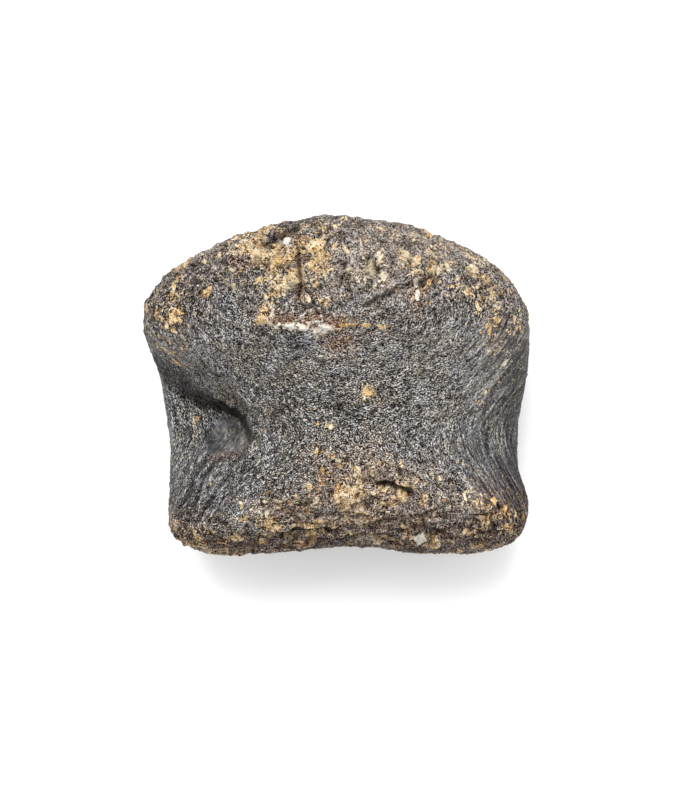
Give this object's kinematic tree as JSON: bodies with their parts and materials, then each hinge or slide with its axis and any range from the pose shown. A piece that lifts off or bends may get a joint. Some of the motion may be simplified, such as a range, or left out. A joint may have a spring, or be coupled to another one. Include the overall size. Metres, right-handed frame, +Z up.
{
  "type": "fossil dinosaur toe bone",
  "caption": "Waisted fossil toe bone of a large plant-eating dinosaur, domed at the upper joint, pitted at the side, lying on its underside as a museum specimen.",
  "frame": {"origin": "under the middle of the bone's box, on the surface it lies on", "axes": "+X across the bone, +Y along it towards the proximal end, +Z up out of its dorsal side"},
  "size_m": [0.0906, 0.078, 0.0502],
  "materials": {
    "fossil_bone": "rough mineralised bone, dark grey with ochre and cream crust"
  },
  "bodies": {
    "root": {"phalanx": "fossil_bone"}
  },
  "joints": []
}
